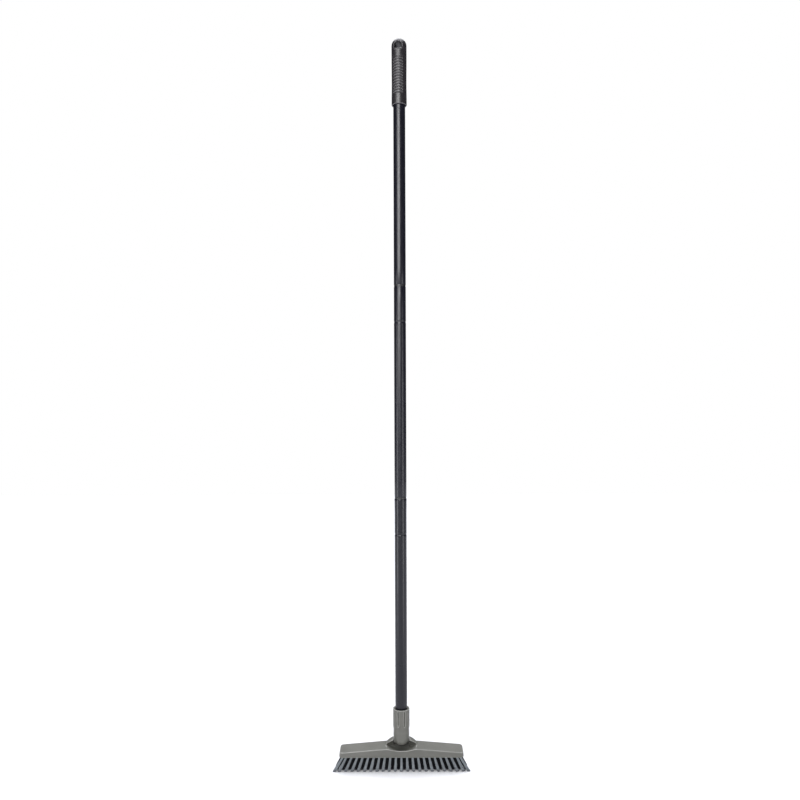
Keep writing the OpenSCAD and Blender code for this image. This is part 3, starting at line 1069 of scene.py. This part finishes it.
def make_floor():
    half = FLOOR_HALF / MM
    corners = [(-half, -half, 0), (half, -half, 0), (half, half, 0), (-half, half, 0)]
    floor = mesh_object("floor", corners, [(0, 1, 2, 3)], floor_paint())
    floor.location.z = -FLOOR_DROP
    floor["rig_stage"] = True


def floor_paint():
    n = Nodes("floor_paint")
    base = n.ramp(n.noise(3, detail=2, rough=0.5), (0.90, 0.90, 0.905), (0.93, 0.93, 0.93))
    return n.set(Base_Color=base, Roughness=0.7)


def make_world():
    """White behind the object, and a dim room that fills its shadows and shows less in its gloss."""
    world = bpy.data.worlds.new("studio")
    bpy.context.scene.world = world
    world.use_nodes = True
    tree = world.node_tree
    back = tree.nodes["Background"]
    back.inputs["Color"].default_value = (1, 1, 1, 1)
    room = tree.nodes.new("ShaderNodeBackground")
    room.inputs["Color"].default_value = (0.92, 0.94, 1, 1)
    path = tree.nodes.new("ShaderNodeLightPath")
    strength = tree.nodes.new("ShaderNodeMath")
    strength.operation = "MULTIPLY_ADD"
    strength.inputs[1].default_value = ROOM_FILL
    strength.inputs[2].default_value = ROOM_SEEN
    tree.links.new(path.outputs["Is Diffuse Ray"], strength.inputs[0])
    tree.links.new(strength.outputs["Value"], room.inputs["Strength"])
    mix = tree.nodes.new("ShaderNodeMixShader")
    tree.links.new(path.outputs["Is Camera Ray"], mix.inputs["Fac"])
    tree.links.new(room.outputs["Background"], mix.inputs[1])
    tree.links.new(back.outputs["Background"], mix.inputs[2])
    tree.links.new(mix.outputs["Shader"], tree.nodes["World Output"].inputs["Surface"])


def make_overhead():
    """A very soft light from above and slightly behind."""
    lamp = add_lamp("overhead", "SUN", OVERHEAD_POWER)
    lamp.data.color = (0.94, 0.95, 1.0)
    lamp.data.angle = math.radians(60)
    lamp.rotation_euler = (math.radians(-20), 0, 0)


def make_studio():
    make_world()
    make_floor()
    make_overhead()
    area_light("front", (-0.25, -2.4, 2.0), (0, 0, 0.75), (0.9, 0.9), 22)
    area_light("sheen_front", (-0.75, -2.05, 1.6), (0, 0, 1.6), (1.8, 1.5), 80, True)
    area_light("sheen_left", (-0.9, -0.45, 0.45), (0, 0, 0.45), (0.25, 0.9), 5, True)
    area_light("sheen_right", (0.77, -0.64, 0.45), (0, 0, 0.45), (0.25, 0.9), 4, True)
    bpy.context.scene.view_settings.view_transform = "Standard"


# ---- the whole object ---------------------------------------------------------------------


def keep_cad(node, material):
    """Shows the CAD's own mesh, for a piece that is hidden inside, with a new material."""
    piece = frame["nodes"][node]
    piece.data.materials.clear()
    piece.data.materials.append(material)


def make_object():
    olive = olive_plastic()
    nylon = black_nylon()
    steel = drawn_steel()
    tube = coated_tube()
    make_block(olive)
    make_socket(olive)
    make_grip(grip_plastic())
    make_tube("lower_tube", tube, True, FLARE)
    make_tube("middle_tube", tube, True)
    make_tube("upper_tube", tube, False)
    for node in ("socket_washer", "lower_washer", "upper_washer"):
        make_washer(node, nylon)
    make_connector("pole_tip", TIP_SHANK_R, nylon)
    make_connector("middle_plug", PLUG_SHANK_R, nylon)
    make_connector("upper_plug", PLUG_SHANK_R, nylon)
    make_pin(steel)
    light = bristle("bristle", (0.14, 0.16, 0.176), (0.39, 0.43, 0.465))
    # The inner rows are near black. This is partly a darker filament and mostly painted shade in the
    # gaps between the outer tufts.
    dark = bristle("dark_bristle", (0.003, 0.0033, 0.005), (0.010, 0.011, 0.015), 0.05)
    for row in ROWS:
        tuft_row(row, *((light, "bristle") if is_outer(row) else (dark, "dark_bristle")))
    for node in ("lower_nut", "middle_nut", "pivot_washers"):
        keep_cad(node, nylon)
    keep_cad("tuft_staples", steel)


make_camera()
make_studio()
make_object()

corners = {"cad": cad_bounds, "visual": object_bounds()}
{k: [list(c) for c in v] for k, v in corners.items()}
